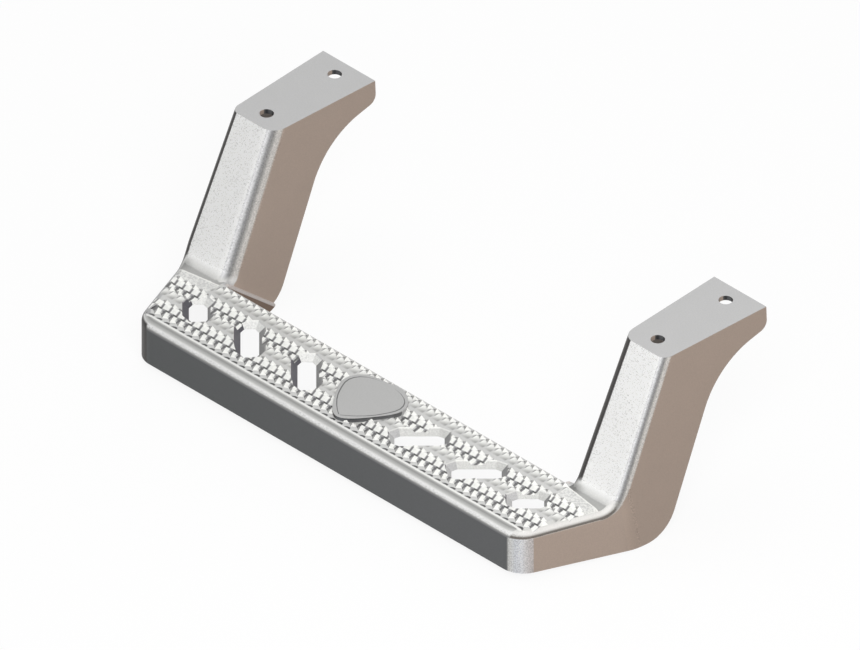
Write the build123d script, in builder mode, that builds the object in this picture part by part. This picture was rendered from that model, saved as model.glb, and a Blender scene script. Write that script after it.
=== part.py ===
# Underbody access step, a one piece hollow aluminium casting with two leaning legs.
# Frame: origin at the centre of the four mounting holes, on the upper face of the two pads.
# X runs along the step, Y points back under the vehicle, Z points up. Lengths in millimetres.
from build123d import *
import math
import os

os.makedirs("parts", exist_ok=True)

# Mounting pads
HOLE_DIA = 11.0
HOLE_SPACING_X = 414.0
HOLE_SPACING_Y = 72.0
PAD_REAR_Y = 51.4
PAD_FRONT_Y = -51.5
PAD_REAR_WIDTH = 55.1
PAD_FRONT_WIDTH = 45.1
PAD_THICKNESS = 4.0
PAD_LIP_DROP = 17.6

# Legs, seen from the side, and the draft by which they widen downwards
LEG_LEAN_DEG = 25.3
LEG_REAR_LEAN_DEG = 24.5
LEG_DRAFT_DEG = 2.66
LEG_KNEE_Y = 1.0
LEG_KNEE_Z = -29.9
LEG_LIP_RADIUS = 8.0
LEG_KNEE_RADIUS = 70.0
LEG_HEEL_RADIUS = 30.0
LEG_TOE_RADIUS = 13.5
LEG_CORNER_RADIUS = 12.0
LEG_WALL = 5.5

# Raised lower part of the inner wall of a leg, with a rounded ledge sloping down to the heel
LEDGE_Y = -102.6
LEDGE_SLOPE_DEG = 40.2
LEDGE_RAISE = 3.0
LEDGE_ROUND = 2.0

# Tread platform
TREAD_DEPTH = 110.35
TREAD_PLATE = 5.0
TREAD_REAR_Y = -106.0
FRONT_Y = -179.75
FRONT_BOTTOM_Z = -148.4
BOTTOM_SLOPE_DEG = 2.8
RIM_RADIUS = 8.0
PLATFORM_WALL = 5.5

# Flared ends: they start at a bend in the outer face of the legs and draw in towards the front
BEND_Y = -93.5
END_INSET = 31.2
END_BEND_RADIUS = 38.0
END_CORNER_RADIUS = 20.0

# Rows of pointed teeth along the tread, each tooth upright behind and ridged in front
TOOTH_PITCH = 7.963
TOOTH_HEIGHT = 2.3
TOOTH_RUN = 2.2
ROW_PITCH = 14.35
FIRST_ROW_Y = -165.7
ROW_SHIFTS = (6.04, 2.29, 0.7, 3.64, 6.1)
ROW_KINDS = ("plain", "trough", "plain", "trough", "plain")
TOOTH_END_MARGIN = 5.3
TOOTH_REAR_LIMIT_X = 185.5

# Notched troughs in front of some rows
TROUGH_DEPTH = 2.8
NOTCH_START = 2.3
NOTCH_SIDE = 0.9
NOTCH_FOOT_SIDE = 2.65
NOTCH_FOOT = 8.65
SPUR_START = 3.7
SPUR_FOOT = 8.4
SPUR_FOOT_SIDE = 0.05

# Six angled openings in the tread, three to each side, sized at the tooth tips
SLOT_WIDTH = 28.6
SLOT_END_WIDTH = 16.4
SLOT_LENGTH_LONG = 52.2
SLOT_LENGTH_SHORT = 38.6
SLOT_X_INNER = 59.6
SLOT_X_MIDDLE = 120.0
SLOT_X_OUTER = 174.6
SLOT_Y = -140.8
SLOT_CHAMFER_RUN = 9.75
SLOT_TURN_DEG = 45.0
SLOT_TAPER_DEG = 45.0

# Blank badge pad in the middle of the tread; its outline passes through three stations on
# each side, given as shares of its length from the rear and of its half width
BADGE_HALF_WIDTH = 30.0
BADGE_REAR_Y = -110.5
BADGE_FRONT_Y = -169.0
BADGE_HEIGHT = 2.9
BADGE_STATIONS = ((0.077, 0.72), (0.29, 1.0), (0.65, 0.72))

# Cutters run past the faces that they open by this much
CUT_OVER = 2.0
REACH = 60.0
REACH_DOWN = 20.0

TREAD_Z = -TREAD_DEPTH
HOLLOW_TOP_Z = TREAD_Z - TREAD_PLATE
LEG_X = HOLE_SPACING_X / 2.0
LEAN = math.tan(math.radians(LEG_LEAN_DEG))
REAR_LEAN = math.tan(math.radians(LEG_REAR_LEAN_DEG))
DRAFT = math.tan(math.radians(LEG_DRAFT_DEG))
BOTTOM_SLOPE = math.tan(math.radians(BOTTOM_SLOPE_DEG))
LEDGE_SLOPE = math.tan(math.radians(LEDGE_SLOPE_DEG))
PAD_TAPER = (PAD_REAR_WIDTH - PAD_FRONT_WIDTH) / 2.0 / (PAD_REAR_Y - PAD_FRONT_Y)

# Where the back line of the leg meets the underside line, and the front line meets the tread
HEEL_Z = (FRONT_BOTTOM_Z - (LEG_KNEE_Y - REAR_LEAN * LEG_KNEE_Z - FRONT_Y) * BOTTOM_SLOPE) / (
    1.0 + REAR_LEAN * BOTTOM_SLOPE
)
HEEL_Y = LEG_KNEE_Y + REAR_LEAN * (HEEL_Z - LEG_KNEE_Z)
TOE_Y = PAD_FRONT_Y - LEAN * TREAD_DEPTH
TREAD_TOE_Y = TOE_Y - LEG_TOE_RADIUS * math.tan(math.radians(45.0 - LEG_LEAN_DEG / 2.0))
LEG_RUN_Y = (TREAD_TOE_Y + FRONT_Y) / 2.0
LOW_Z = HEEL_Z - REACH_DOWN
REACH_Y = PAD_REAR_Y + REACH
SPAN_X = LEG_X + PAD_REAR_WIDTH


def underside(y):
    return FRONT_BOTTOM_Z - (y - FRONT_Y) * BOTTOM_SLOPE


def half_at(y, z):
    # half width of a leg at this place, before its corners are rounded
    return PAD_FRONT_WIDTH / 2.0 + (y - PAD_FRONT_Y) * PAD_TAPER - z * DRAFT


def edge_near(block, point):
    return block.edges().sort_by_distance(point)[0]


# Half length of the tread at its sharp front corners, and the flare of the ends
END_HALF_FRONT = LEG_X + half_at(BEND_Y, TREAD_Z) - END_INSET
FLARE = END_INSET / (BEND_Y - FRONT_Y)
END_WALL_X = PLATFORM_WALL * math.sqrt(1.0 + FLARE * FLARE)


def leg_block(inset):
    # upright block of the right leg in plan, tapering upwards by the draft
    front = half_at(FRONT_Y, LOW_Z) - inset
    rear = half_at(REACH_Y, LOW_Z) - inset
    with BuildPart() as block:
        with BuildSketch(Plane.XY.offset(LOW_Z)):
            with BuildLine():
                Polyline(
                    (LEG_X - front, FRONT_Y),
                    (LEG_X + front, FRONT_Y),
                    (LEG_X + rear, REACH_Y),
                    (LEG_X - rear, REACH_Y),
                    close=True,
                )
            make_face()
        extrude(amount=-LOW_Z, taper=LEG_DRAFT_DEG)
    return block.part


def plan_face(inset):
    # plan outline with flared ends, wide enough behind to take in the legs
    front_y = FRONT_Y + inset
    half_front = END_HALF_FRONT + inset * FLARE
    if inset > 0.0:
        half_front = half_front - END_WALL_X
    flare_end_y = front_y + (SPAN_X - half_front) / FLARE
    with BuildSketch(Plane.XY.offset(LOW_Z)) as outline:
        with BuildLine():
            Polyline(
                (-half_front, front_y),
                (half_front, front_y),
                (SPAN_X, flare_end_y),
                (SPAN_X, REACH_Y),
                (-SPAN_X, REACH_Y),
                (-SPAN_X, flare_end_y),
                close=True,
            )
        make_face()
        for sx in (-1, 1):
            corner = outline.vertices().sort_by_distance((sx * half_front, front_y))[0]
            fillet(corner, END_CORNER_RADIUS - inset)
    return outline.sketch


# Side profile of a leg, run on under the tread
with BuildSketch(Plane.YZ) as leg_profile:
    with BuildLine():
        Polyline(
            (PAD_FRONT_Y, 0.0),
            (PAD_REAR_Y, 0.0),
            (PAD_REAR_Y, -PAD_LIP_DROP),
            (LEG_KNEE_Y, LEG_KNEE_Z),
            (HEEL_Y, HEEL_Z),
            (LEG_RUN_Y, underside(LEG_RUN_Y)),
            (LEG_RUN_Y, TREAD_Z),
            (TOE_Y, TREAD_Z),
            close=True,
        )
    make_face()
    for y, z, radius in (
        (PAD_REAR_Y, -PAD_LIP_DROP, LEG_LIP_RADIUS),
        (LEG_KNEE_Y, LEG_KNEE_Z, LEG_KNEE_RADIUS),
        (HEEL_Y, HEEL_Z, LEG_HEEL_RADIUS),
        (TOE_Y, TREAD_Z, LEG_TOE_RADIUS),
    ):
        fillet(leg_profile.vertices().sort_by_distance((y, z))[0], radius)

# Side profile of the tread platform
with BuildSketch(Plane.YZ) as platform_profile:
    with BuildLine():
        Polyline(
            (FRONT_Y, TREAD_Z),
            (TREAD_REAR_Y, TREAD_Z),
            (TREAD_REAR_Y, underside(TREAD_REAR_Y)),
            (FRONT_Y, FRONT_BOTTOM_Z),
            close=True,
        )
    make_face()

with BuildPart() as leg_blank:
    add(leg_block(0.0))
    extrude(leg_profile.sketch, amount=SPAN_X, mode=Mode.INTERSECT)
    corner_y = (PAD_FRONT_Y + TOE_Y) / 2.0
    corner_z = TREAD_Z / 2.0
    inner_corner = (LEG_X - half_at(corner_y, corner_z), corner_y, corner_z)
    fillet(edge_near(leg_blank, inner_corner), LEG_CORNER_RADIUS)

# Raised lower part of the inner wall, bounded above by the sloping ledge
with BuildPart() as ledge:
    add(leg_block(-LEDGE_RAISE))
    extrude(leg_profile.sketch, amount=LEG_X, mode=Mode.INTERSECT)
    with BuildSketch(Plane.YZ) as ledge_profile:
        with BuildLine():
            Polyline(
                (TREAD_REAR_Y - CUT_OVER, TREAD_Z),
                (LEDGE_Y, TREAD_Z),
                (LEDGE_Y + (TREAD_Z - LOW_Z) / LEDGE_SLOPE, LOW_Z),
                (TREAD_REAR_Y - CUT_OVER, LOW_Z),
                close=True,
            )
        make_face()
    extrude(amount=LEG_X, mode=Mode.INTERSECT)
    ledge_y = (LEDGE_Y + HEEL_Y) / 2.0
    ledge_z = TREAD_Z - (ledge_y - LEDGE_Y) * LEDGE_SLOPE
    ledge_edge = (LEG_X - half_at(ledge_y, ledge_z) - LEDGE_RAISE, ledge_y, ledge_z)
    fillet(edge_near(ledge, ledge_edge), LEDGE_ROUND)

with BuildPart() as outer:
    extrude(platform_profile.sketch, amount=SPAN_X, both=True)
    add(leg_blank.part)
    add(mirror(leg_blank.part, about=Plane.YZ))
    extrude(plan_face(0.0), amount=-LOW_Z, mode=Mode.INTERSECT)
    # soft upright bend where the flared end meets the outer face of the leg
    for sx in (-1, 1):
        bend_z = (TREAD_Z + HEEL_Z) / 2.0
        bend_y = BEND_Y + (TREAD_Z - bend_z) * DRAFT / (FLARE - PAD_TAPER)
        bend = (sx * (LEG_X + half_at(bend_y, bend_z)), bend_y, bend_z)
        fillet(edge_near(outer, bend), END_BEND_RADIUS)
    # one rounded edge runs down each leg, along the flared end and across the front
    fillet(edge_near(outer, (0.0, FRONT_Y, TREAD_Z)), RIM_RADIUS)
    add(ledge.part)
    add(mirror(ledge.part, about=Plane.YZ))

# Hollow of a leg: same section less the walls, open at the back and below
WALL_BACK = LEG_WALL * math.sqrt(1.0 + LEAN * LEAN)
with BuildPart() as leg_hollow:
    add(leg_block(LEG_WALL))
    with BuildSketch(Plane.YZ) as leg_hollow_profile:
        with BuildLine():
            Polyline(
                (PAD_FRONT_Y - LEAN * PAD_THICKNESS + WALL_BACK, -PAD_THICKNESS),
                (REACH_Y, -PAD_THICKNESS),
                (REACH_Y, LOW_Z),
                (TREAD_REAR_Y - CUT_OVER, LOW_Z),
                (TREAD_REAR_Y - CUT_OVER, HOLLOW_TOP_Z),
                (PAD_FRONT_Y + LEAN * HOLLOW_TOP_Z + WALL_BACK, HOLLOW_TOP_Z),
                close=True,
            )
        make_face()
    extrude(amount=SPAN_X, mode=Mode.INTERSECT)
    extrude(plan_face(PLATFORM_WALL), amount=-LOW_Z, mode=Mode.INTERSECT)

# Hollow under the tread, open below and behind
with BuildPart() as tread_hollow:
    with BuildSketch(Plane.YZ) as tread_hollow_profile:
        with BuildLine():
            Polyline(
                (FRONT_Y, HOLLOW_TOP_Z),
                (TREAD_REAR_Y + CUT_OVER / 2.0, HOLLOW_TOP_Z),
                (TREAD_REAR_Y + CUT_OVER / 2.0, LOW_Z),
                (FRONT_Y, LOW_Z),
                close=True,
            )
        make_face()
    extrude(amount=SPAN_X, both=True)
    extrude(plan_face(PLATFORM_WALL), amount=-LOW_Z, mode=Mode.INTERSECT)


def row_y(row):
    return FIRST_ROW_Y + row * ROW_PITCH


def end_x(y):
    # half length of the flat top of the tread at this place, less the margin
    return END_HALF_FRONT + (y - FRONT_Y) * FLARE - TOOTH_END_MARGIN


def tooth_places(row):
    y = row_y(row)
    reach = end_x(y)
    if y + CUT_OVER > TREAD_TOE_Y:
        reach = min(reach, TOOTH_REAR_LIMIT_X)
    first = math.ceil((-reach + TOOTH_PITCH / 2.0 - ROW_SHIFTS[row]) / TOOTH_PITCH)
    last = math.floor((reach - TOOTH_PITCH / 2.0 - ROW_SHIFTS[row]) / TOOTH_PITCH)
    return [(ROW_SHIFTS[row] + k * TOOTH_PITCH, y) for k in range(first, last + 1)]


# One pointed tooth, upright behind, with a ridge running down to the front
with BuildPart() as tooth:
    with BuildSketch(Plane.XY) as tooth_foot:
        with BuildLine():
            half_tooth = TOOTH_PITCH / 2.0
            Polyline((-half_tooth, 0.0), (0.0, -TOOTH_RUN), (half_tooth, 0.0), close=True)
        make_face()
    loft(sections=[tooth_foot.face(), Vertex(0.0, 0.0, TOOTH_HEIGHT)])


def trough(row):
    # Void in front of a row: notches run down its back wall between three sided spurs
    y = row_y(row)
    front_y = row_y(row - 1)
    xs = [x for x, _ in tooth_places(row)]
    top = TREAD_Z + CUT_OVER
    floor = TREAD_Z - TROUGH_DEPTH
    half = TOOTH_PITCH / 2.0
    notch = [(x + NOTCH_SIDE, y - NOTCH_START) for x in xs]
    spur = [(x + half, y - SPUR_START) for x in xs]
    spur.insert(0, (xs[0] - half, y - SPUR_START))
    notch_foot = [(x + NOTCH_FOOT_SIDE, y - NOTCH_FOOT, floor) for x in xs]
    spur_foot = [(x + SPUR_FOOT_SIDE, y - SPUR_FOOT, floor) for x in xs]
    left_x = xs[0] - half
    right_x = xs[-1] + half
    rim = [spur[0]]
    for n, s in zip(notch, spur[1:]):
        rim.extend([n, s])
    rim.extend([(right_x, front_y), (left_x, front_y)])
    walls = []
    count = len(rim)
    for i in range(count):
        a = rim[i]
        b = rim[(i + 1) % count]
        foot = [(a[0], a[1], TREAD_Z), (b[0], b[1], TREAD_Z)]
        walls.append(foot + [(b[0], b[1], top), (a[0], a[1], top)])
    walls.append([(px, py, top) for px, py in rim])
    ground = []
    for s, n in zip(spur_foot, notch_foot):
        ground.extend([s, n])
    right_low = (right_x, front_y, floor)
    left_low = (left_x, front_y, floor)
    walls.append(ground + [right_low, left_low])
    up = [(px, py, TREAD_Z) for px, py in spur]
    dip = [(px, py, TREAD_Z) for px, py in notch]
    for i in range(len(xs)):
        walls.append([up[i], dip[i], notch_foot[i]])
        walls.append([up[i], notch_foot[i], spur_foot[i]])
        walls.append([dip[i], up[i + 1], notch_foot[i]])
        if i + 1 < len(xs):
            walls.append([up[i + 1], spur_foot[i + 1], notch_foot[i]])
    right_up = (right_x, front_y, TREAD_Z)
    left_up = (left_x, front_y, TREAD_Z)
    walls.append([up[-1], right_low, notch_foot[-1]])
    walls.append([up[-1], right_up, right_low])
    walls.append([up[0], spur_foot[0], left_low])
    walls.append([up[0], left_low, left_up])
    walls.append([left_up, left_low, right_low, right_up])
    faces = [Face(Wire.make_polygon(points, close=True)) for points in walls]
    return Solid(Shell(faces))


# Badge outline, pointed to the front
BADGE_LENGTH = BADGE_REAR_Y - BADGE_FRONT_Y
badge_side = [
    (BADGE_HALF_WIDTH * out, BADGE_REAR_Y - BADGE_LENGTH * back) for back, out in BADGE_STATIONS
]
badge_other = [(-x, y) for x, y in reversed(badge_side)]
badge_points = [(0.0, BADGE_REAR_Y)] + badge_side + [(0.0, BADGE_FRONT_Y)] + badge_other
with BuildSketch(Plane.XY.offset(HOLLOW_TOP_Z)) as badge_outline:
    with BuildLine():
        Spline(*badge_points, periodic=True)
    make_face()


def slot_cutter(length):
    # one angled opening, wide at the tooth tips and narrowing downwards
    half_l = length / 2.0
    half_w = SLOT_WIDTH / 2.0
    half_e = SLOT_END_WIDTH / 2.0
    run = SLOT_CHAMFER_RUN
    with BuildPart() as cutter:
        with BuildSketch(Plane.XY) as mouth:
            with BuildLine():
                Polyline(
                    (-half_l, -half_e),
                    (-half_l + run, -half_w),
                    (half_l - run, -half_w),
                    (half_l, -half_e),
                    (half_l, half_e),
                    (half_l - run, half_w),
                    (-half_l + run, half_w),
                    (-half_l, half_e),
                    close=True,
                )
            make_face()
        extrude(amount=-(TOOTH_HEIGHT + TREAD_PLATE + CUT_OVER / 2.0), taper=SLOT_TAPER_DEG)
        extrude(mouth.sketch, amount=CUT_OVER)
    return cutter.part


SLOTS = (
    (SLOT_X_INNER, SLOT_LENGTH_LONG),
    (SLOT_X_MIDDLE, SLOT_LENGTH_LONG),
    (SLOT_X_OUTER, SLOT_LENGTH_SHORT),
)

with BuildPart() as step_casting:
    add(outer.part)
    add(leg_hollow.part, mode=Mode.SUBTRACT)
    add(mirror(leg_hollow.part, about=Plane.YZ), mode=Mode.SUBTRACT)
    add(tread_hollow.part, mode=Mode.SUBTRACT)
    for row in range(len(ROW_SHIFTS)):
        with Locations(*[(x, y, TREAD_Z) for x, y in tooth_places(row)]):
            add(tooth.part)
    for row, kind in enumerate(ROW_KINDS):
        if kind == "trough":
            add(trough(row), mode=Mode.SUBTRACT)
    for slot_x, slot_length in SLOTS:
        opening = slot_cutter(slot_length)
        for sx in (-1, 1):
            place = (sx * slot_x, SLOT_Y, TREAD_Z + TOOTH_HEIGHT)
            with Locations(Location(place, (0, 0, sx * SLOT_TURN_DEG))):
                add(opening, mode=Mode.SUBTRACT)
    extrude(badge_outline.sketch, amount=TREAD_PLATE + BADGE_HEIGHT)
    with BuildSketch(Plane.XY.offset(CUT_OVER)):
        with GridLocations(HOLE_SPACING_X, HOLE_SPACING_Y, 2, 2):
            Circle(HOLE_DIA / 2.0)
    extrude(amount=-(PAD_THICKNESS + 2.0 * CUT_OVER), mode=Mode.SUBTRACT)

step_casting.part.label = "step_casting"
export_step(step_casting.part, "parts/step_casting.step")
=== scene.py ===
"""Dresses the cast aluminium access step: its finish with painted light and shade, the crowns of its teeth
and the pale studio.
"""
import math

import bpy
import numpy as np
from mathutils import Matrix, Vector


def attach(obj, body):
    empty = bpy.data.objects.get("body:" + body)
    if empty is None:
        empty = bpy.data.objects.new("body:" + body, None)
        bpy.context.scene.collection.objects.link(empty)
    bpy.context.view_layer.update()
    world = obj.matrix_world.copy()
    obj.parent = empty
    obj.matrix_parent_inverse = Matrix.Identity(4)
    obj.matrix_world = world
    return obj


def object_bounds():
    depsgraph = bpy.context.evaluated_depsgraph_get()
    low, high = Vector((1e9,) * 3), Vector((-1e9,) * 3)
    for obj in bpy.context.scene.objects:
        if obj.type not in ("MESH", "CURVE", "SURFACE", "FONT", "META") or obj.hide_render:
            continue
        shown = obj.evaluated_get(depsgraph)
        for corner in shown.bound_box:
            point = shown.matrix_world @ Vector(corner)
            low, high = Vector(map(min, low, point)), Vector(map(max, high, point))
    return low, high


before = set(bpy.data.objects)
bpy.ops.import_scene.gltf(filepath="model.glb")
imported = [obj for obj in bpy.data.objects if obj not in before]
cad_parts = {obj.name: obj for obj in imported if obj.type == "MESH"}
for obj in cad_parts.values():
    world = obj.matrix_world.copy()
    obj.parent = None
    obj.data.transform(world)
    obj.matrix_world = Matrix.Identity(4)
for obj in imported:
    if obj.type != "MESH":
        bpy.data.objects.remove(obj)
cad_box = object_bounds()

scene = bpy.context.scene
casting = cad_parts["step_casting"]

# Places on the casting in metres, as the part's source has them
TREAD_Z = -0.11035
FRONT_Y = -0.17975
END_HALF_FRONT = 0.2014
END_FLARE = 0.362
LEG_INNER_X = 0.1855
LEG_FOOT_Z = -0.109
# Level part of the tread, from behind the front rim to its rear edge
TREAD_FRONT_Y = -0.17325
TREAD_REAR_Y = -0.1053
# Rounded rims along the front and the ends, then the rear of the ends and the front corners
FRONT_RIM_DEPTH = 0.00815
END_RIM_WIDTH = 0.0085
END_REAR_Y = -0.100
CORNER_X = 0.155
CORNER_REAR_Y = -0.154
# Toes of the legs begin here
TOE_START_Y = -0.1185
# Foot of each toe: its place at the leg's inner wall, and how it slants forward to the outside
TOE_FOOT_X = 0.1858
TOE_FOOT_Y = -0.1083
TOE_SLANT = 0.147
# Sloping ledge low on the inner wall of each leg
LEDGE_Y = -0.1026
LEDGE_SLOPE = math.radians(40.2)
# Studio floor, just under the step
FLOOR_Z = cad_box[0][2] - 0.0004

# Rows of teeth on the tread, from the front to the rear
TOOTH_PITCH = 0.007963
ROW_PITCH = 0.01435
FIRST_ROW_Y = -0.1657
ROW_SHIFTS = (0.00604, 0.00229, 0.0007, 0.00364, 0.0061)
ROW_END_MARGIN = 0.0053
# Crown of a tooth: how far its foot runs ahead, how high its tip stands, how deep its foot is sunk
CROWN_FOOT = 0.0031
CROWN_TIP = 0.00242
CROWN_SINK = 0.0006
# Levels over the tread between which the small facets of teeth and notches lie
FACETS_TOP = 0.00425
FACETS_FOOT = -0.0062
# Angled openings: place and half length of each pair, then half width, place, clearance and depth of all
OPENINGS = ((0.0596, 0.0261), (0.120, 0.0261), (0.1746, 0.0193))
OPENING_HALF_WIDTH = 0.0143
OPENING_Y = -0.1408
OPENING_CLEARANCE = 0.0035
OPENING_DEPTH = 0.019
# Plate in the middle of the tread: middle and radius kept clear of teeth, then its face, then its groove
PLATE_MIDDLE_Y = -0.137
PLATE_CLEAR = 0.037
PLATE_LEVEL = 0.0021
PLATE_HALF_WIDTH = 0.035
PLATE_REAR_Y = -0.109
GROOVE_REAR_Y = -0.1130
GROOVE_LENGTH = 0.0535
GROOVE_HALF_WIDTH = 0.0272
# Half width of the groove's outline as a share of the greatest, from its rear tip to its front tip
GROOVE_WIDTHS = [
    (0.0, 0.0), (0.01, 0.30), (0.03, 0.50), (0.077, 0.72), (0.14, 0.87),
    (0.21, 0.96), (0.29, 1.0), (0.38, 0.98), (0.47, 0.91), (0.56, 0.82),
    (0.65, 0.72), (0.75, 0.57), (0.85, 0.38), (0.93, 0.20), (1.0, 0.0),
]

# Painted light and shade by turn, from the underside over the rear, top and front round to the underside: a
# white painted highlight where faces lean forward, as on the leg fronts, and painted shade on the upright
# front
LIGHT_AND_SHADE_BY_TURN = [
    (0.0, (0.33, 0.33, 0.33)),
    (0.25, (0.42, 0.42, 0.42)),
    (0.42, (0.44, 0.44, 0.44)),
    (0.5, (0.45, 0.45, 0.45)),
    (0.511, (0.45, 0.45, 0.45)),
    (0.527, (0.32, 0.32, 0.32)),
    (0.603, (0.31, 0.31, 0.315)),
    (0.632, (0.80, 0.80, 0.79)),
    (0.656, (1.0, 1.0, 0.99)),
    (0.703, (1.0, 1.0, 0.99)),
    (0.722, (0.60, 0.60, 0.60)),
    (0.735, (0.15, 0.155, 0.16)),
    (0.81, (0.15, 0.15, 0.155)),
    (1.0, (0.33, 0.33, 0.33)),
]
# Painted shade and highlight on the toe of a leg by turn, from the tread up to the leaning front
TOE_SHADE_BY_TURN = [
    (0.505, (0.30, 0.30, 0.29)),
    (0.53, (0.34, 0.34, 0.33)),
    (0.56, (0.46, 0.46, 0.45)),
    (0.60, (0.68, 0.68, 0.66)),
    (0.64, (0.90, 0.90, 0.89)),
    (0.66, (1.0, 1.0, 0.99)),
]
# Painted highlights and shade on the rim along the front by tilt, from the level tread over the rounding to
# the upright front
RIM_HIGHLIGHTS_BY_TILT = [
    (0.5, (0.62, 0.62, 0.61)),
    (0.5125, (0.80, 0.80, 0.78)),
    (0.530, (0.60, 0.60, 0.58)),
    (0.5467, (0.39, 0.39, 0.38)),
    (0.562, (0.285, 0.285, 0.275)),
    (0.577, (0.30, 0.30, 0.29)),
    (0.590, (0.40, 0.40, 0.39)),
    (0.603, (0.47, 0.47, 0.46)),
    (0.616, (0.55, 0.55, 0.54)),
    (0.627, (0.68, 0.68, 0.66)),
    (0.640, (0.87, 0.87, 0.86)),
    (0.654, (0.98, 0.98, 0.97)),
    (0.682, (0.98, 0.98, 0.97)),
    (0.695, (0.85, 0.85, 0.83)),
    (0.708, (0.55, 0.55, 0.54)),
    (0.725, (0.32, 0.32, 0.32)),
    (0.743, (0.20, 0.205, 0.21)),
    (0.75, (0.15, 0.155, 0.16)),
]
# Painted highlights and shade on the rim along the ends by how level it is, from upright to level
END_RIM_HIGHLIGHTS = [
    (0.0, (0.30, 0.27, 0.25)),
    (0.22, (0.15, 0.135, 0.12)),
    (0.32, (0.24, 0.23, 0.21)),
    (0.42, (0.64, 0.63, 0.61)),
    (0.56, (0.84, 0.83, 0.81)),
    (0.72, (0.76, 0.75, 0.73)),
    (0.86, (0.60, 0.60, 0.58)),
    (0.95, (0.60, 0.60, 0.58)),
    (1.0, (0.62, 0.62, 0.61)),
]
# Painted highlight and shade streaks down the rounded corners of the legs, by how far the corner has turned
# to the right
LEG_CORNER_HIGHLIGHTS = [
    (0.0, (1.0, 1.0, 1.0)),
    (0.24, (1.04, 1.04, 1.04)),
    (0.34, (0.80, 0.80, 0.82)),
    (0.44, (0.90, 0.90, 0.92)),
    (0.54, (0.60, 0.60, 0.62)),
    (0.63, (0.33, 0.33, 0.34)),
    (0.74, (0.27, 0.265, 0.265)),
    (0.82, (0.44, 0.43, 0.42)),
    (0.88, (0.66, 0.64, 0.62)),
    (1.0, (0.66, 0.64, 0.62)),
]
# Painted highlight and shade streaks down the front right corner of the platform, by how far it has turned to
# the right
PLATFORM_CORNER_HIGHLIGHTS = [
    (0.0, (0.50, 0.50, 0.50)),
    (0.16, (0.70, 0.70, 0.68)),
    (0.32, (0.93, 0.93, 0.91)),
    (0.50, (0.86, 0.88, 0.92)),
    (0.68, (0.92, 0.93, 0.96)),
    (0.80, (0.78, 0.76, 0.76)),
    (0.90, (0.66, 0.62, 0.61)),
    (1.0, (0.60, 0.54, 0.50)),
]
# Warm painted shade on the right flanks
FLANK_WARM_SHADE = (0.43, 0.345, 0.29)
# Painted shade on the flanks that face left
FAR_FLANK_SHADE = (0.36, 0.35, 0.34)
# Painted shade on the leg corners that face left
FAR_CORNER_SHADE = (0.03, 0.026, 0.024)
# Painted shade over the front, darker to the left
FRONT_LEFT_SHADE = (0.86, 0.88, 0.87)
# Painted shade on the toes and at their feet, and a painted highlight line along each foot
TOE_SHADE = (0.13, 0.13, 0.125)
TOE_FOOT = (0.36, 0.36, 0.35)
TOE_HIGHLIGHT_LINE = (0.80, 0.80, 0.77)
# Painted highlight on the ledge strip and painted shadow on the wall below it
LEDGE_HIGHLIGHT = (0.56, 0.52, 0.50)
LEDGE_SHADOW = (0.19, 0.13, 0.096)
TREAD_FLAT = (0.56, 0.56, 0.55)
# Rough speckled patch ahead of each toe, painted light as a highlight
ROUGH_FLAT_HIGHLIGHT = (0.86, 0.86, 0.83)
# Painted highlight line where the front rim begins
RIM_HIGHLIGHT_LINE = (0.78, 0.78, 0.76)
# Painted highlight and shade of the soft scoops, then black painted shadow lines
SCOOP_HIGHLIGHT = (0.95, 0.95, 0.92)
SCOOP_SHADE = (0.27, 0.27, 0.26)
SHADOW_LINE = (0.05, 0.05, 0.05)
# Painted highlight on facets that face the light, greyer blotches in it, painted shade on facets turned away
FACET_HIGHLIGHT = (0.90, 0.90, 0.87)
BLOTCHED_FACET = (0.60, 0.60, 0.58)
SHADED_FACET = (0.12, 0.12, 0.12)
LEFT_FACET_SHADE = (0.36, 0.36, 0.35)
REAR_FACET_SHADE = (0.085, 0.075, 0.09)
PLATE_TINT = (0.91, 0.91, 0.90)
# Painted shade of the groove on the plate
PLATE_GROOVE_SHADE = (0.10, 0.10, 0.10)
# Painted light and shade on the walls of the angled openings, on the left half of the tread and on the right
# half
LIT_REAR_WALLS = ((0.80, 0.80, 0.78), (0.62, 0.62, 0.60))
REAR_WALL_FOOT_SHADE = (0.50, 0.50, 0.48)
LEFT_WALL_SHADES = ((0.075, 0.072, 0.085), (0.52, 0.52, 0.52))
RIGHT_WALL_SHADE = (0.22, 0.22, 0.22)

# Camera of the photo: pixels across the picture, pixels in a metre, and how far right and up it is aimed
PICTURE_PIXELS = 860.0
PIXELS_IN_METRE = 1336.0
AIM_RIGHT = -0.04955
AIM_UP = -0.08855
# Brightness of the surroundings as light and as seen, then the floor's own glow as seen
SKY_LIGHT = 0.28
SKY_SEEN = 1.0
FLOOR_GLOW = 0.90


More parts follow.
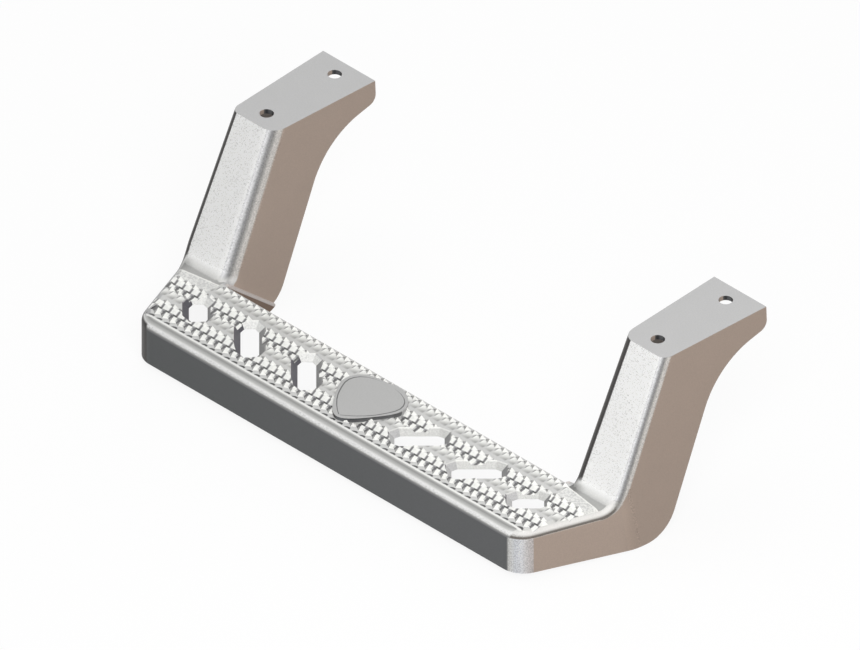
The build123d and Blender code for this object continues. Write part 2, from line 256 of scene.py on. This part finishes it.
class Recipe:
    """A material or world under way.

    node adds one node, and feed joins or sets one socket. Every other method adds the nodes that it needs
    and gives back their output.
    """

    def __init__(self, owner):
        owner.use_nodes = True
        self.tree = owner.node_tree
        self.tree.nodes.clear()

    def node(self, kind, **settings):
        made = self.tree.nodes.new(kind)
        for name, value in settings.items():
            setattr(made, name, value)
        return made

    def feed(self, socket, value):
        """Joins a socket to another, or sets it to a number or a colour."""
        if isinstance(value, bpy.types.NodeSocket):
            self.tree.links.new(value, socket)
        elif isinstance(value, tuple) and len(value) == 3:
            socket.default_value = (*value, 1.0)
        elif value is not None:
            socket.default_value = value

    def math(self, operation, first, second=None):
        made = self.node("ShaderNodeMath", operation=operation)
        for socket, value in zip(made.inputs, (first, second)):
            self.feed(socket, value)
        return made.outputs[0]

    def plus(self, first, second):
        return self.math("ADD", first, second)

    def minus(self, first, second):
        return self.math("SUBTRACT", first, second)

    def times(self, *values):
        """Product of all values."""
        product = values[0]
        for value in values[1:]:
            product = self.math("MULTIPLY", product, value)
        return product

    def most(self, *values):
        """Greatest of all values."""
        greatest = values[0]
        for value in values[1:]:
            greatest = self.math("MAXIMUM", greatest, value)
        return greatest

    def step(self, value, start, end):
        """Smooth step from nothing at the start to one at the end, which may be the lower of the two."""
        made = self.node("ShaderNodeMapRange", interpolation_type="SMOOTHSTEP")
        for socket, number in zip(made.inputs, (value, start, end, 0.0, 1.0)):
            self.feed(socket, number)
        return made.outputs[0]

    def above(self, value, edge, soft):
        """One above the edge, nothing below it, and a soft step of the given width between."""
        return self.step(value, edge - soft / 2.0, edge + soft / 2.0)

    def below(self, value, edge, soft):
        """One below the edge, nothing above it, and a soft step of the given width between."""
        return self.step(value, edge + soft / 2.0, edge - soft / 2.0)

    def paint(self, share, first, second, blend="MIX"):
        """First colour with the second over it, by the share."""
        made = self.node("ShaderNodeMix", data_type="RGBA", blend_type=blend)
        for socket, value in zip((made.inputs[0], made.inputs[6], made.inputs[7]), (share, first, second)):
            self.feed(socket, value)
        return made.outputs[2]

    def tint(self, first, second):
        """Product of two colours."""
        return self.paint(1.0, first, second, "MULTIPLY")

    def ramp(self, value, stops, interpolation="LINEAR"):
        """Colours along a value, from a list of (place, colour)."""
        made = self.node("ShaderNodeValToRGB")
        made.color_ramp.interpolation = interpolation
        points = made.color_ramp.elements
        while len(points) < len(stops):
            points.new(1.0)
        for point, (place, colour) in zip(points, stops):
            point.position = place
            point.color = (*colour, 1.0)
        self.feed(made.inputs[0], value)
        return made.outputs[0]

    def noise(self, coords, scale, detail, rough):
        made = self.node("ShaderNodeTexNoise")
        for name, value in (("Vector", coords), ("Scale", scale), ("Detail", detail), ("Roughness", rough)):
            self.feed(made.inputs[name], value)
        return made.outputs[0]

    def split(self, vector):
        made = self.node("ShaderNodeSeparateXYZ")
        self.feed(made.inputs[0], vector)
        return made.outputs[0], made.outputs[1], made.outputs[2]


class Surface:
    """Where a point of the casting lies and which way it faces, as sockets of one recipe.

    x, y, z are places in metres and aside is |x|; right, rear and high are the parts of the facing direction;
    turn is its angle about the length of the step (0.5 up, 0.75 front, 0.25 rear, 0 and 1 down);
    tilt is its angle from straight up on the same scale; to_end is the way left to the end of the platform;
    level is one where it faces straight up, upright where it hardly faces up, outer past the corner's place.
    """

    def __init__(self, r):
        where = r.node("ShaderNodeTexCoord")
        self.place = where.outputs["Object"]
        self.x, self.y, self.z = r.split(self.place)
        self.right, self.rear, self.high = r.split(where.outputs["Normal"])
        self.aside = r.math("ABSOLUTE", self.x)
        turn = r.math("ARCTAN2", r.times(self.rear, -1.0), self.high)
        self.turn = r.plus(r.times(turn, 0.5 / math.pi), 0.5)
        self.tilt = r.plus(r.times(r.math("ARCCOSINE", self.high), 0.5 / math.pi), 0.5)
        end_x = r.plus(r.times(r.plus(self.y, -FRONT_Y), END_FLARE), END_HALF_FRONT)
        self.to_end = r.minus(end_x, self.aside)
        self.level = r.above(self.high, 0.9875, 0.015)
        self.upright = r.below(self.high, 0.11, 0.06)
        self.outer = r.above(self.aside, CORNER_X, 0.010)


def paint_toes(r, at, shaded_tones, left_of_toe):
    """Toes of the legs blend softly into the tread in painted shade and highlight, with more painted shade on
    their left.
    """
    on_toe = r.times(
        r.above(at.y, TOE_START_Y, 0.002),
        r.above(at.aside, LEG_INNER_X - 0.001, 0.001),
        r.above(at.turn, 0.5085, 0.007),
        r.below(at.turn, 0.660, 0.010),
    )
    shade = r.times(left_of_toe, r.below(at.turn, 0.6125, 0.065), 0.75)
    toe = r.paint(shade, r.ramp(at.turn, TOE_SHADE_BY_TURN), TOE_SHADE)
    return r.paint(on_toe, shaded_tones, toe)


def paint_front(r, at, shaded_tones):
    """Rim along the front of the platform and the front below it in painted highlights and shade, with
    painted shade to the left.
    """
    on_front = r.times(
        r.below(at.z, TREAD_Z + 0.0002, 0.0004),
        r.below(at.y, FRONT_Y + FRONT_RIM_DEPTH, 0.0005),
        r.below(at.rear, 0.0, 0.04),
        r.above(at.high, -0.035, 0.03),
    )
    shaded_tones = r.paint(on_front, shaded_tones, r.ramp(at.tilt, RIM_HIGHLIGHTS_BY_TILT))
    to_left = r.times(on_front, r.below(at.high, 0.06, 0.08), r.below(at.x, 0.0, 0.44))
    return r.paint(to_left, shaded_tones, r.tint(shaded_tones, FRONT_LEFT_SHADE))


def paint_leg_corners(r, at, shaded_tones):
    """Rounded upright corners of the legs: painted highlight and shade streaks on the right one, painted
    shade on the left one.
    """
    on_leg = r.times(r.above(at.z, LEG_FOOT_Z, 0.006), r.above(at.turn, 0.60, 0.04))
    shaded_tones = r.paint(on_leg, shaded_tones, r.tint(shaded_tones, r.ramp(at.right, LEG_CORNER_HIGHLIGHTS)))
    faces_left = r.times(r.below(at.right, -0.17, 0.10), r.below(at.high, 0.575, 0.25))
    far = r.times(faces_left, r.below(at.rear, -0.325, 0.15))
    return r.paint(far, shaded_tones, FAR_CORNER_SHADE)


def paint_ends(r, at, shaded_tones, on_corner):
    """Rim along the ends of the platform in painted highlights, the flanks in warm painted shade, the front
    right corner in painted streaks and the far flanks in painted shade.
    """
    on_rim = r.times(
        r.below(at.to_end, END_RIM_WIDTH, 0.001),
        r.above(at.right, 0.175, 0.15),
        r.below(at.z, TREAD_Z + 0.00485, 0.002),
        r.below(at.y, END_REAR_Y, 0.008),
        r.above(at.high, 0.11, 0.06),
    )
    shaded_tones = r.paint(on_rim, shaded_tones, r.ramp(at.high, END_RIM_HIGHLIGHTS))
    on_flank = r.times(
        r.above(at.right, 0.915, 0.07),
        at.outer,
        r.most(r.above(at.x, 0.005, 0.010), r.above(at.y, TOE_START_Y - 0.0015, 0.002)),
        at.upright,
    )
    on_end = r.times(r.below(at.z, TREAD_Z + 0.00385, 0.023), r.below(at.y, END_REAR_Y + 0.008, 0.016))
    # Warm painted shade on the flanks, lighter on the platform's ends
    flank_shade = r.node("ShaderNodeVectorMath", operation="SCALE")
    flank_shade.inputs[0].default_value = FLANK_WARM_SHADE
    r.feed(flank_shade.inputs[3], r.plus(r.times(on_end, 0.21), 1.03))
    shaded_tones = r.paint(on_flank, shaded_tones, flank_shade.outputs[0])
    shaded_tones = r.paint(on_corner, shaded_tones, r.ramp(at.right, PLATFORM_CORNER_HIGHLIGHTS))
    return r.paint(r.below(at.right, -0.85, 0.14), shaded_tones, FAR_FLANK_SHADE)


def paint_ledges(r, at, shaded_tones):
    """Ledge low on the inner walls of the legs, as a painted highlight strip with painted shadow below: over
    = height above its sloping line, square to the line.
    """
    line = r.plus(r.times(r.plus(at.y, -LEDGE_Y), -math.tan(LEDGE_SLOPE)), TREAD_Z)
    over = r.times(r.minus(at.z, line), math.cos(LEDGE_SLOPE))
    low = r.times(
        r.below(at.aside, LEG_INNER_X - 0.0035, 0.001),
        r.above(at.y, TREAD_REAR_Y - 0.0001, 0.0008),
        r.below(at.z, TREAD_Z + 0.0011, 0.0015),
    )
    shaded_tones = r.paint(r.times(low, r.below(over, -0.00015, 0.0003)), shaded_tones, LEDGE_SHADOW)
    strip = r.times(low, r.above(over, -0.0022, 0.0004), r.below(over, 0.00025, 0.0003))
    return r.paint(strip, shaded_tones, LEDGE_HIGHLIGHT)


def tread_cells(r, at):
    """Place in the cells of the tread. A cell lies ahead of each row and is a tooth pitch wide.

    cell = whole part of (last row - y) / row pitch, ahead = what is left of it in millimetres,
    across = place in the cell from -0.5 to 0.5 in pitches, 0 at the middle of the tooth.
    """
    rows = len(ROW_SHIFTS)
    last_y = FIRST_ROW_Y + (rows - 1) * ROW_PITCH
    rows_on = r.times(r.plus(r.times(at.y, -1.0), last_y), 1.0 / ROW_PITCH)
    cell = r.math("FLOOR", rows_on)
    ahead = r.times(r.minus(rows_on, cell), ROW_PITCH * 1000.0)
    # the shift of each row is looked up in centimetres, so that it fits the ramp
    stops = [
        (number / (rows + 1), (shift * 100.0, shift * 100.0, shift * 100.0))
        for number, shift in enumerate(reversed(ROW_SHIFTS))
    ]
    shift = r.ramp(r.times(r.plus(cell, 0.5), 1.0 / (rows + 1)), stops, "CONSTANT")
    moved = r.minus(at.x, r.times(shift, 0.01))
    across = r.minus(r.math("FRACT", r.plus(r.times(moved, 1.0 / TOOTH_PITCH), 0.5)), 0.5)
    return cell, ahead, across


def paint_scoops(r, shaded_tones, plain, ahead, across):
    """Soft scoops ahead of the plain rows in painted light and shade: highlight by the tooth, shade on the
    right, a shadow line on the left.
    """
    turned = r.math("FRACT", r.plus(across, 0.72))
    body = r.times(
        r.above(ahead, 1.5, 1.0),
        r.below(ahead, 9.25, 2.5),
        r.above(turned, 0.12, 0.16),
        r.below(turned, 0.92, 0.12),
    )
    fade = r.plus(r.times(turned, 0.55), r.times(r.above(ahead, 6.25, 6.5), 0.55))
    scoop = r.paint(r.math("MINIMUM", fade, 1.0), SCOOP_HIGHLIGHT, SCOOP_SHADE)
    shaded_tones = r.paint(r.times(body, plain), shaded_tones, scoop)
    shadow_line = r.times(r.below(turned, 0.095, 0.07), r.above(ahead, 1.2, 0.8), r.below(ahead, 5.5, 2.0))
    return r.paint(r.times(shadow_line, plain, 0.75), shaded_tones, SHADED_FACET)


def paint_notches(r, shaded_tones, notched, ahead, across):
    """Notches ahead of the other rows.

    Each is a painted highlight quad with a slanting painted shadow on its left, a second tier of highlight
    and shade ahead of it and a black painted shadow at its foot.
    """
    leaning = r.math("FRACT", r.plus(r.plus(across, r.times(ahead, -0.018)), 1.0))
    quad = r.times(
        r.above(leaning, 0.06, 0.06),
        r.below(leaning, 0.78, 0.12),
        r.above(ahead, 1.1, 0.6),
        r.below(ahead, 6.4, 0.8),
    )
    shaded_tones = r.paint(r.times(quad, notched), shaded_tones, FACET_HIGHLIGHT)
    side = r.times(
        r.above(leaning, 0.87, 0.06),
        r.below(leaning, 0.985, 0.03),
        r.above(ahead, 0.7, 0.6),
        r.below(ahead, 7.5, 1.0),
    )
    shaded_tones = r.paint(r.times(side, notched), shaded_tones, SHADED_FACET)
    tier = r.times(r.above(ahead, 7.3, 0.6), notched)
    offset = r.math("FRACT", r.plus(leaning, 0.35))
    shaded_tones = r.paint(r.times(tier, r.below(offset, 0.47, 0.06)), shaded_tones, FACET_HIGHLIGHT)
    shaded_tones = r.paint(r.times(tier, r.above(offset, 0.66, 0.08), r.below(offset, 0.94, 0.08)), shaded_tones, SHADED_FACET)
    foot = r.times(r.above(ahead, 6.25, 0.3), r.below(ahead, 7.2, 0.4), r.above(leaning, 0.47, 0.10))
    return r.paint(r.times(foot, notched), shaded_tones, SHADOW_LINE)


def paint_crescents(r, at, shaded_tones, first, ahead, across):
    """Small crescents of painted shade ahead of the first row, then the painted highlight line where the rim
    begins.
    """
    depth = r.minus(ahead, r.times(across, across, 9.0))
    crescent_shade = r.times(
        r.above(depth, 3.65, 0.3),
        r.below(depth, 5.55, 0.3),
        r.above(across, -0.44, 0.04),
        r.below(across, 0.22, 0.04),
    )
    shaded_tones = r.paint(r.times(crescent_shade, first), shaded_tones, SHADOW_LINE)
    line = r.times(r.above(at.y, FRONT_Y + 0.0063, 0.0006), r.below(at.y, FRONT_Y + 0.0082, 0.0008))
    return r.paint(line, shaded_tones, RIM_HIGHLIGHT_LINE)


def paint_tread(r, at, shaded_tones, cells, level_tread):
    """Flat of the tread with the cells in it, plain and notched rows in turn."""
    cell, ahead, across = cells
    flat = r.times(level_tread, r.above(at.y, TREAD_FRONT_Y, 0.0005), r.below(at.y, TREAD_REAR_Y, 0.0006))
    ready = r.paint(r.times(flat, at.level), shaded_tones, TREAD_FLAT)
    odd = r.math("GREATER_THAN", r.math("FRACT", r.times(r.plus(cell, 0.5), 0.5)), 0.5)
    notched = r.times(odd, r.math("GREATER_THAN", cell, -0.5))
    first = r.math("GREATER_THAN", cell, 3.5)
    by_leg = r.times(r.below(cell, 0.5, 0.2), r.above(at.aside, LEG_INNER_X - 0.00025, 0.0015))
    plain = r.times(r.minus(1.0, odd), r.minus(1.0, first), r.minus(1.0, by_leg))
    pattern = paint_scoops(r, ready, plain, ahead, across)
    pattern = paint_notches(r, pattern, notched, ahead, across)
    pattern = paint_crescents(r, at, pattern, first, ahead, across)
    return r.paint(flat, ready, pattern)


def paint_toe_feet(r, at, shaded_tones, left_of_toe, level_tread):
    """Rough speckled flat ahead of each toe painted light as a highlight, then a painted highlight line and
    painted shade along its foot.

    gap = way to the rear past the line of the foot, which slants forward to the outside.
    """
    slant = r.times(r.plus(at.aside, -TOE_FOOT_X), TOE_SLANT)
    gap = r.plus(r.plus(at.y, -TOE_FOOT_Y), slant)
    by_toe = r.times(level_tread, r.above(at.aside, LEG_INNER_X - 0.00065, 0.0007))
    rough = r.above(r.noise(at.place, scale=620.0, detail=2.0, rough=0.6), 0.51, 0.22)
    shaded_tones = r.paint(r.times(by_toe, r.above(gap, -0.012, 0.001), rough, 0.65), shaded_tones, ROUGH_FLAT_HIGHLIGHT)
    line = r.times(by_toe, r.above(gap, -0.00115, 0.0003), r.below(gap, -0.00025, 0.0003))
    shaded_tones = r.paint(line, shaded_tones, TOE_HIGHLIGHT_LINE)
    foot = r.paint(left_of_toe, TOE_FOOT, TOE_SHADE)
    return r.paint(r.times(by_toe, r.above(gap, 0.0001, 0.0004)), shaded_tones, foot)


def paint_plate(r, at, shaded_tones):
    """Bare plate on the tread with the painted shade of one groove that follows its outline a little way in.

    share = place along the groove from its rear tip (0) to its front tip (1),
    gap = groove half width less |x|, without its sign.
    """
    on_plate = r.times(
        r.above(at.z, TREAD_Z + PLATE_LEVEL, 0.0006),
        r.below(at.aside, PLATE_HALF_WIDTH, 0.002),
        at.level,
        r.below(at.y, PLATE_REAR_Y, 0.002),
    )
    share = r.times(r.plus(r.times(at.y, -1.0), GROOVE_REAR_Y), 1.0 / GROOVE_LENGTH)
    widths = r.ramp(share, [(place, (width, width, width)) for place, width in GROOVE_WIDTHS])
    gap = r.math("ABSOLUTE", r.minus(r.times(widths, GROOVE_HALF_WIDTH), at.aside))
    between_tips = r.times(r.above(share, 0.0075, 0.005), r.below(share, 0.9925, 0.005))
    groove = r.times(r.below(gap, 0.00055, 0.0004), between_tips)
    plate = r.paint(groove, r.tint(shaded_tones, PLATE_TINT), PLATE_GROOVE_SHADE)
    return r.paint(on_plate, shaded_tones, plate)


def paint_facets(r, at, shaded_tones, across):
    """Small facets of teeth and notches: a painted highlight on those facing right, front and up, greyer
    blotches in it below the tread, painted shade on those turned away.

    shine = how far a facet faces right, front and up alike.
    """
    by_leg = r.above(at.aside, LEG_INNER_X + 0.0005, 0.001)
    on_toe = r.times(r.above(at.y, TOE_START_Y + 0.002, 0.001), by_leg)
    small = r.times(
        r.below(at.z, TREAD_Z + FACETS_TOP, 0.0015),
        r.above(at.z, TREAD_Z + FACETS_FOOT, 0.0008),
        r.above(at.y, FRONT_Y + 0.0081, 0.0006),
        r.below(at.y, TREAD_REAR_Y - 0.0008, 0.001),
        r.above(at.to_end, 0.0039, 0.001),
        r.minus(1.0, on_toe),
        r.below(at.high, 0.80, 0.04),
        r.above(at.high, 0.185, 0.13),
    )
    shine = r.times(r.minus(r.plus(at.right, at.high), at.rear), 1.0 / math.sqrt(3.0))
    blotch = r.above(r.noise(at.place, scale=260.0, detail=3.0, rough=0.6), 0.55, 0.18)
    blotched = r.times(r.below(at.z, TREAD_Z - 0.0004, 0.0016), blotch, 0.35)
    lit_facet = r.paint(blotched, FACET_HIGHLIGHT, BLOTCHED_FACET)
    shaded_tones = r.paint(r.times(small, r.above(shine, 0.885, 0.09)), shaded_tones, lit_facet)
    left_side = r.paint(r.below(across, -0.34, 0.16), LEFT_FACET_SHADE, SHADOW_LINE)
    shaded_tones = r.paint(r.times(small, r.below(at.right, -0.21, 0.18)), shaded_tones, left_side)
    return r.paint(r.times(small, r.above(at.rear, 0.235, 0.23)), shaded_tones, REAR_FACET_SHADE)


def paint_opening_walls(r, at, shaded_tones, in_opening):
    """Walls of the angled openings: the rear ones in painted light, painted shade at their foot, the others
    in painted shade.
    """
    right_half = r.above(at.x, 0.0, 0.02)
    deep = r.below(at.z, TREAD_Z - 0.006, 0.005)
    rear_wall = r.paint(r.times(deep, 0.5), r.paint(right_half, *LIT_REAR_WALLS), REAR_WALL_FOOT_SHADE)
    shaded_tones = r.paint(r.times(in_opening, r.below(at.rear, -0.3, 0.2)), shaded_tones, rear_wall)
    on_left = r.times(in_opening, r.above(at.right, 0.4, 0.2), r.above(at.rear, -0.275, 0.15))
    shaded_tones = r.paint(on_left, shaded_tones, r.paint(right_half, *LEFT_WALL_SHADES))
    return r.paint(r.times(in_opening, r.below(at.right, -0.4, 0.2)), shaded_tones, RIGHT_WALL_SHADE)


def add_grain(r, at, shaded_tones, fine, coarse):
    """Grain all over, strongest where coarse is one, and a faint cloud."""
    cloud = r.noise(at.place, scale=42.0, detail=3.0, rough=0.55)
    amount = r.plus(r.times(coarse, 1.3), 0.30)
    tone = r.plus(r.times(r.plus(fine, -0.5), amount), 1.0)
    tone = r.plus(tone, r.times(r.plus(cloud, -0.5), 0.06))
    tones = r.node("ShaderNodeCombineXYZ")
    for socket in tones.inputs:
        r.feed(socket, tone)
    return r.tint(shaded_tones, tones.outputs[0])


def left_of_toes(r, at):
    """One on the left part of both legs, with a soft edge to its right."""
    right_leg = r.times(r.below(at.x, LEG_INNER_X + 0.0085, 0.016), r.math("GREATER_THAN", at.x, 0.0))
    return r.most(right_leg, r.below(at.x, -0.222, 0.020))


def on_level_tread(r, at):
    """One on the level tread between its teeth."""
    return r.times(
        r.below(at.z, TREAD_Z + 0.0011, 0.0006),
        r.above(at.z, TREAD_Z - 0.0032, 0.0004),
        r.above(at.high, 0.82, 0.04),
    )


def on_front_corner(r, at):
    """One on the rounded front right corner of the platform."""
    return r.times(
        r.above(at.right, 0.19, 0.10),
        r.below(at.right, 0.9315, 0.013),
        r.below(r.math("ABSOLUTE", at.high), 0.275, 0.15),
        at.upright,
        r.below(at.z, TREAD_Z + 0.003, 0.002),
        r.below(at.rear, -0.3575, 0.025),
        at.outer,
        r.below(at.y, CORNER_REAR_Y, 0.008),
    )


def inside_openings(r, at):
    """One on the walls of the angled openings."""
    return r.times(
        r.below(at.z, TREAD_Z - 0.0007, 0.0006),
        r.above(at.z, TREAD_Z - OPENING_DEPTH, 0.002),
        r.above(at.y, FRONT_Y + 0.009, 0.002),
        r.below(at.y, TREAD_REAR_Y - 0.0077, 0.002),
        r.above(at.to_end, 0.0055, 0.001),
        r.below(at.high, 0.75, 0.10),
    )


def satin_shell(r, shaded_tones, fine):
    """Satin surface in the given tones. Its roughness and small bumps follow the fine grain."""
    shell = r.node("ShaderNodeBsdfPrincipled")
    r.feed(shell.inputs["Base Color"], shaded_tones)
    r.feed(shell.inputs["Roughness"], r.plus(r.times(fine, 0.16), 0.36))
    shell.inputs["Metallic"].default_value = 0.0
    shell.inputs["Specular IOR Level"].default_value = 0.4
    bump = r.node("ShaderNodeBump")
    bump.inputs["Strength"].default_value = 0.35
    bump.inputs["Distance"].default_value = 0.0002
    r.feed(bump.inputs["Height"], fine)
    r.feed(shell.inputs["Normal"], bump.outputs[0])
    out = r.node("ShaderNodeOutputMaterial")
    r.feed(out.inputs[0], shell.outputs[0])


def cast_finish_with_painted_light(material):
    """As cast aluminium, satin with a fine grain. Light and shade are painted into its tones, which follow
    the place and the way that each face turns.
    """
    r = Recipe(material)
    at = Surface(r)
    left_of_toe = left_of_toes(r, at)
    level_tread = on_level_tread(r, at)
    on_corner = on_front_corner(r, at)
    in_opening = inside_openings(r, at)
    on_leg_front = r.times(r.above(at.turn, 0.6525, 0.015), r.below(at.turn, 0.705, 0.01))
    cells = tread_cells(r, at)

    # Tones start from painted light and shade by the way each face turns
    shaded_tones = r.ramp(at.turn, LIGHT_AND_SHADE_BY_TURN)
    shaded_tones = paint_toes(r, at, shaded_tones, left_of_toe)
    shaded_tones = paint_front(r, at, shaded_tones)
    shaded_tones = paint_leg_corners(r, at, shaded_tones)
    shaded_tones = paint_ends(r, at, shaded_tones, on_corner)
    shaded_tones = paint_ledges(r, at, shaded_tones)
    shaded_tones = paint_tread(r, at, shaded_tones, cells, level_tread)
    shaded_tones = paint_toe_feet(r, at, shaded_tones, left_of_toe, level_tread)
    shaded_tones = paint_plate(r, at, shaded_tones)
    shaded_tones = paint_facets(r, at, shaded_tones, cells[2])
    shaded_tones = paint_opening_walls(r, at, shaded_tones, in_opening)
    fine = r.noise(at.place, scale=950.0, detail=2.0, rough=0.8)
    coarse = r.most(on_leg_front, on_corner, r.times(in_opening, 0.5))
    shaded_tones = add_grain(r, at, shaded_tones, fine, coarse)
    satin_shell(r, shaded_tones, fine)


def row_places(row, shift):
    """Middles of the teeth of one row, as an array of points.

    They stand a pitch apart from the row's shift, as far as the row's reach: end half length less the margin.
    Left out are the ones over the plate (inside its circle) and over an angled opening (inside its rectangle,
    measured along and across the opening's own axes).
    """
    y = FIRST_ROW_Y + row * ROW_PITCH
    reach = END_HALF_FRONT + (y - FRONT_Y) * END_FLARE - ROW_END_MARGIN
    if row == len(ROW_SHIFTS) - 1:
        reach = min(reach, LEG_INNER_X)
    steps = math.ceil(reach / TOOTH_PITCH) + 1
    xs = shift + np.arange(-steps, steps + 1) * TOOTH_PITCH
    xs = xs[np.abs(xs) + TOOTH_PITCH / 2.0 <= reach]
    over_plate = PLATE_CLEAR**2 - (y - PLATE_MIDDLE_Y) ** 2
    keep = np.abs(xs) >= math.sqrt(max(over_plate, 0.0))
    diagonal = math.sqrt(0.5)
    for side in (-1, 1):
        for opening_x, half_length in OPENINGS:
            dx = xs - side * opening_x
            dy = side * (y - OPENING_Y)
            along = np.abs(dx + dy) * diagonal
            across = np.abs(dx - dy) * diagonal
            past_ends = along > half_length + OPENING_CLEARANCE
            past_sides = across > OPENING_HALF_WIDTH + OPENING_CLEARANCE
            keep &= past_ends | past_sides
    xs = xs[keep]
    return np.stack([xs, np.full(len(xs), y), np.full(len(xs), TREAD_Z)], 1)


def tooth_crowns():
    """Sharp crowns over the cast teeth, one mesh.

    Each crown is a three sided point: its foot runs half a pitch to either side and CROWN_FOOT ahead, its tip
    stands CROWN_TIP above the tread at the row's line, and its foot is sunk by CROWN_SINK. All corners of all
    crowns are one array: the middles of the teeth plus the corners of one crown.
    """
    half = TOOTH_PITCH / 2.0
    foot = [(-half, 0.0, 0.0), (half, 0.0, 0.0), (0.0, -CROWN_FOOT, 0.0)]
    sunk = [(x, y, z - CROWN_SINK) for x, y, z in foot]
    corners = np.array(foot + [(0.0, 0.0, CROWN_TIP)] + sunk)
    faces = np.array([
        (0, 2, 3), (2, 1, 3), (1, 0, 3), (0, 4, 6), (0, 6, 2),
        (2, 6, 5), (2, 5, 1), (1, 5, 4), (1, 4, 0), (4, 5, 6),
    ])
    middles = np.concatenate([row_places(row, shift) for row, shift in enumerate(ROW_SHIFTS)])
    all_corners = (middles[:, None, :] + corners[None]).reshape(-1, 3)
    starts = len(corners) * np.arange(len(middles))
    all_faces = (faces[None] + starts[:, None, None]).reshape(-1, 3)
    mesh = bpy.data.meshes.new("tooth_crowns")
    mesh.from_pydata(all_corners.tolist(), [], all_faces.tolist())
    mesh.materials.append(painted_light_finish)
    crowns = bpy.data.objects.new("tooth_crowns", mesh)
    scene.collection.objects.link(crowns)
    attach(crowns, "root")


def camera_at_photo():
    """Level isometric view: the sight line runs along (-1, 1, -1)."""
    data = bpy.data.cameras.new("photo_camera")
    data.type = "ORTHO"
    data.ortho_scale = PICTURE_PIXELS / PIXELS_IN_METRE
    data.clip_start = 0.01
    data.clip_end = 20.0
    camera = bpy.data.objects.new("photo_camera", data)
    scene.collection.objects.link(camera)
    right = Vector((1, 1, 0)).normalized()
    up = Vector((-1, 1, 2)).normalized()
    back = Vector((1, -1, 1)).normalized()
    aim = right * AIM_RIGHT + up * AIM_UP
    turn = Matrix((right, up, back)).transposed().to_4x4()
    camera.matrix_world = Matrix.Translation(aim + back * 2.0) @ turn
    scene.camera = camera


def softbox(name, direction, power, size, colour=(1.0, 1.0, 1.0), distance=2.2):
    """A square lamp that looks at the middle of the step from the given direction."""
    data = bpy.data.lights.new(name, "AREA")
    data.shape = "SQUARE"
    data.size = size
    data.energy = power
    data.color = colour
    lamp = bpy.data.objects.new(name, data)
    scene.collection.objects.link(lamp)
    middle = Vector((0.0, -0.08, -0.08))
    away = Vector(direction).normalized()
    turn = away.to_track_quat("Z", "Y").to_matrix().to_4x4()
    lamp.matrix_world = Matrix.Translation(middle + away * distance) @ turn


def seen_directly(r):
    """One for camera, glossy and transmission rays, nothing for the light that reaches the object."""
    path = r.node("ShaderNodeLightPath")
    kinds = ("Is Camera Ray", "Is Glossy Ray", "Is Transmission Ray")
    return r.most(*(path.outputs[kind] for kind in kinds))


def studio_floor():
    """Pale floor just under the step. It keeps the step's shadow and glows for the camera alone."""
    reach = 6.0
    corners = [(x * reach, y * reach, FLOOR_Z) for x, y in ((-1, -1), (1, -1), (1, 1), (-1, 1))]
    mesh = bpy.data.meshes.new("studio_floor")
    mesh.from_pydata(corners, [], [(0, 1, 2, 3)])
    floor = bpy.data.objects.new("studio_floor", mesh)
    scene.collection.objects.link(floor)
    paint = bpy.data.materials.new("studio_floor")
    r = Recipe(paint)
    plain = r.node("ShaderNodeBsdfDiffuse")
    plain.inputs["Color"].default_value = (0.09, 0.09, 0.09, 1.0)
    glow = r.node("ShaderNodeEmission")
    glow.inputs["Color"].default_value = (1.0, 1.0, 1.0, 1.0)
    r.feed(glow.inputs["Strength"], r.times(seen_directly(r), FLOOR_GLOW))
    both = r.node("ShaderNodeAddShader")
    r.feed(both.inputs[0], plain.outputs[0])
    r.feed(both.inputs[1], glow.outputs[0])
    out = r.node("ShaderNodeOutputMaterial")
    r.feed(out.inputs[0], both.outputs[0])
    mesh.materials.append(paint)


def studio():
    """Pale surroundings and soft lamps: the key from the front right, the rest fill the other sides."""
    world = bpy.data.worlds.new("studio")
    scene.world = world
    r = Recipe(world)
    sky = r.node("ShaderNodeBackground")
    sky.inputs["Color"].default_value = (1.0, 1.0, 1.0, 1.0)
    r.feed(sky.inputs["Strength"], r.plus(r.times(seen_directly(r), SKY_SEEN - SKY_LIGHT), SKY_LIGHT))
    out = r.node("ShaderNodeOutputWorld")
    r.feed(out.inputs[0], sky.outputs[0])
    softbox("key_lamp", (0.58, -0.45, 0.68), power=30.0, size=1.0)
    softbox("top_lamp", (-0.25, 0.1, 0.96), power=16.0, size=1.6)
    softbox("side_lamp", (0.9, 0.4, 0.1), power=8.0, size=1.2, colour=(1.0, 0.86, 0.74))
    softbox("back_lamp", (-0.5, 0.8, 0.3), power=8.0, size=1.2)
    softbox("far_lamp", (-0.97, 0.2, 0.1), power=7.0, size=1.2)


painted_light_finish = bpy.data.materials.new("cast_aluminium")
cast_finish_with_painted_light(painted_light_finish)
if not casting.material_slots:
    casting.data.materials.append(painted_light_finish)
for slot in casting.material_slots:
    slot.material = painted_light_finish

tooth_crowns()
camera_at_photo()
studio_floor()
studio()
scene.view_settings.view_transform = "Standard"
